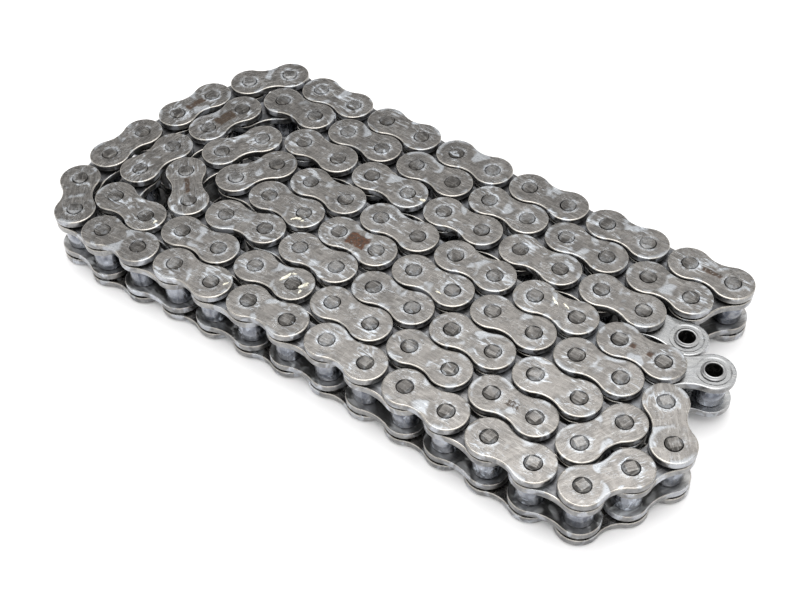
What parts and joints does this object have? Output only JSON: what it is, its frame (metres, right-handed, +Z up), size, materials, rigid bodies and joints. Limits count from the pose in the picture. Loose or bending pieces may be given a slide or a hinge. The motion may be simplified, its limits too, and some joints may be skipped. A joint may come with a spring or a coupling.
{
  "type": "roller chain",
  "caption": "Sealed steel roller chain with riveted links, folded into eight nested rows and lying on its pin ends, both ends open.",
  "frame": {"origin": "middle of the footprint, on the surface that the chain lies on", "axes": "+Z up along the pins, +X along the rows towards the two free ends, -Y towards the first row of the fold"},
  "size_m": [0.2458, 0.1181, 0.0225],
  "materials": {
    "outer_plate": "satin, lightly greased",
    "inner_plate": "satin",
    "pin": "satin, oiled",
    "bush": "polished",
    "roller": "polished, greased",
    "seal": "matt"
  },
  "bodies": {
    "folded_chain": {"first_end_outer_plate_lower": "outer_plate", "first_end_outer_plate_upper": "outer_plate", "first_end_pin_hinge": "pin", "first_end_pin_inner": "pin", "first_end_seal_lower": "seal", "first_end_seal_upper": "seal", "front_inner_link_1": "inner_plate", "front_inner_link_2": "inner_plate", "front_inner_link_3": "inner_plate", "front_inner_link_4": "inner_plate", "front_inner_link_5": "inner_plate", "front_inner_link_6": "inner_plate", "front_inner_link_7": "inner_plate", "front_outer_link_1": "outer_plate", "front_outer_link_2": "outer_plate", "front_outer_link_3": "outer_plate", "front_outer_link_4": "outer_plate", "front_outer_link_5": "outer_plate", "front_outer_link_6": "outer_plate", "last_end_outer_plate_lower": "outer_plate", "last_end_outer_plate_upper": "outer_plate", "last_end_pin_hinge": "pin", "last_end_pin_inner": "pin", "last_end_seal_lower": "seal", "last_end_seal_upper": "seal", "outer_left_turn": "outer_plate", "right_turn": "outer_plate", "row_2": "outer_plate", "row_3": "outer_plate", "row_7": "outer_plate", "row_8": "outer_plate", "rows_4_and_5_with_left_turn": "outer_plate", "second_left_turn": "outer_plate", "third_left_turn_and_row_6": "outer_plate"},
    "first_end_link": {"first_end_inner_plate_upper": "inner_plate", "first_end_inner_plate_lower": "inner_plate", "first_end_bush_hinge": "bush", "first_end_bush_free": "bush"},
    "first_end_roller_hinge": {"first_end_roller_hinge": "roller"},
    "first_end_roller_free": {"first_end_roller_free": "roller"},
    "last_end_link": {"last_end_inner_plate_upper": "inner_plate", "last_end_inner_plate_lower": "inner_plate", "last_end_bush_hinge": "bush", "last_end_bush_free": "bush"},
    "last_end_roller_hinge": {"last_end_roller_hinge": "roller"},
    "last_end_roller_free": {"last_end_roller_free": "roller"},
    "front_roller_1": {"front_roller_1": "roller"},
    "front_roller_2": {"front_roller_2": "roller"},
    "front_roller_3": {"front_roller_3": "roller"},
    "front_roller_4": {"front_roller_4": "roller"},
    "front_roller_5": {"front_roller_5": "roller"},
    "front_roller_6": {"front_roller_6": "roller"},
    "front_roller_7": {"front_roller_7": "roller"},
    "front_roller_8": {"front_roller_8": "roller"},
    "front_roller_9": {"front_roller_9": "roller"},
    "front_roller_10": {"front_roller_10": "roller"},
    "front_roller_11": {"front_roller_11": "roller"},
    "front_roller_12": {"front_roller_12": "roller"},
    "front_roller_13": {"front_roller_13": "roller"},
    "front_roller_14": {"front_roller_14": "roller"}
  },
  "joints": [
    {"name": "first_end_link_swing", "type": "hinge", "parent": "folded_chain", "child": "first_end_link", "pos_m": [0.09784, 0.00827, 0.01127], "axis": [0, 0, -1], "range_deg": [0, 30]},
    {"name": "first_end_roller_hinge_turn", "type": "hinge", "parent": "first_end_link", "child": "first_end_roller_hinge", "pos_m": [0.09784, 0.00827, 0.01127], "axis": [0, 0, 1], "continuous": true},
    {"name": "first_end_roller_free_turn", "type": "hinge", "parent": "first_end_link", "child": "first_end_roller_free", "pos_m": [0.11145, 0.01645, 0.01127], "axis": [0, 0, 1], "continuous": true},
    {"name": "last_end_link_swing", "type": "hinge", "parent": "folded_chain", "child": "last_end_link", "pos_m": [0.08222, 0.02336, 0.01127], "axis": [0, 0, -1], "range_deg": [0, 0.5]},
    {"name": "last_end_roller_hinge_turn", "type": "hinge", "parent": "last_end_link", "child": "last_end_roller_hinge", "pos_m": [0.08222, 0.02336, 0.01127], "axis": [0, 0, 1], "continuous": true},
    {"name": "last_end_roller_free_turn", "type": "hinge", "parent": "last_end_link", "child": "last_end_roller_free", "pos_m": [0.0981, 0.02364, 0.01127], "axis": [0, 0, 1], "continuous": true},
    {"name": "front_roller_1_turn", "type": "hinge", "parent": "folded_chain", "child": "front_roller_1", "pos_m": [0.10122, -0.04594, 0.01127], "axis": [0, 0, 1], "continuous": true},
    {"name": "front_roller_2_turn", "type": "hinge", "parent": "folded_chain", "child": "front_roller_2", "pos_m": [0.08543, -0.0476, 0.01127], "axis": [0, 0, 1], "continuous": true},
    {"name": "front_roller_3_turn", "type": "hinge", "parent": "folded_chain", "child": "front_roller_3", "pos_m": [0.06956, -0.04722, 0.01127], "axis": [0, 0, 1], "continuous": true},
    {"name": "front_roller_4_turn", "type": "hinge", "parent": "folded_chain", "child": "front_roller_4", "pos_m": [0.05369, -0.04683, 0.01127], "axis": [0, 0, 1], "continuous": true},
    {"name": "front_roller_5_turn", "type": "hinge", "parent": "folded_chain", "child": "front_roller_5", "pos_m": [0.03782, -0.04644, 0.01127], "axis": [0, 0, 1], "continuous": true},
    {"name": "front_roller_6_turn", "type": "hinge", "parent": "folded_chain", "child": "front_roller_6", "pos_m": [0.02195, -0.04605, 0.01127], "axis": [0, 0, 1], "continuous": true},
    {"name": "front_roller_7_turn", "type": "hinge", "parent": "folded_chain", "child": "front_roller_7", "pos_m": [0.00608, -0.04566, 0.01127], "axis": [0, 0, 1], "continuous": true},
    {"name": "front_roller_8_turn", "type": "hinge", "parent": "folded_chain", "child": "front_roller_8", "pos_m": [-0.00978, -0.0465, 0.01127], "axis": [0, 0, 1], "continuous": true},
    {"name": "front_roller_9_turn", "type": "hinge", "parent": "folded_chain", "child": "front_roller_9", "pos_m": [-0.02563, -0.04733, 0.01127], "axis": [0, 0, 1], "continuous": true},
    {"name": "front_roller_10_turn", "type": "hinge", "parent": "folded_chain", "child": "front_roller_10", "pos_m": [-0.04148, -0.04816, 0.01127], "axis": [0, 0, 1], "continuous": true},
    {"name": "front_roller_11_turn", "type": "hinge", "parent": "folded_chain", "child": "front_roller_11", "pos_m": [-0.05733, -0.04899, 0.01127], "axis": [0, 0, 1], "continuous": true},
    {"name": "front_roller_12_turn", "type": "hinge", "parent": "folded_chain", "child": "front_roller_12", "pos_m": [-0.07315, -0.05037, 0.01127], "axis": [0, 0, 1], "continuous": true},
    {"name": "front_roller_13_turn", "type": "hinge", "parent": "folded_chain", "child": "front_roller_13", "pos_m": [-0.08896, -0.05176, 0.01127], "axis": [0, 0, 1], "continuous": true},
    {"name": "front_roller_14_turn", "type": "hinge", "parent": "folded_chain", "child": "front_roller_14", "pos_m": [-0.10472, -0.04982, 0.01127], "axis": [0, 0, 1], "continuous": true}
  ]
}
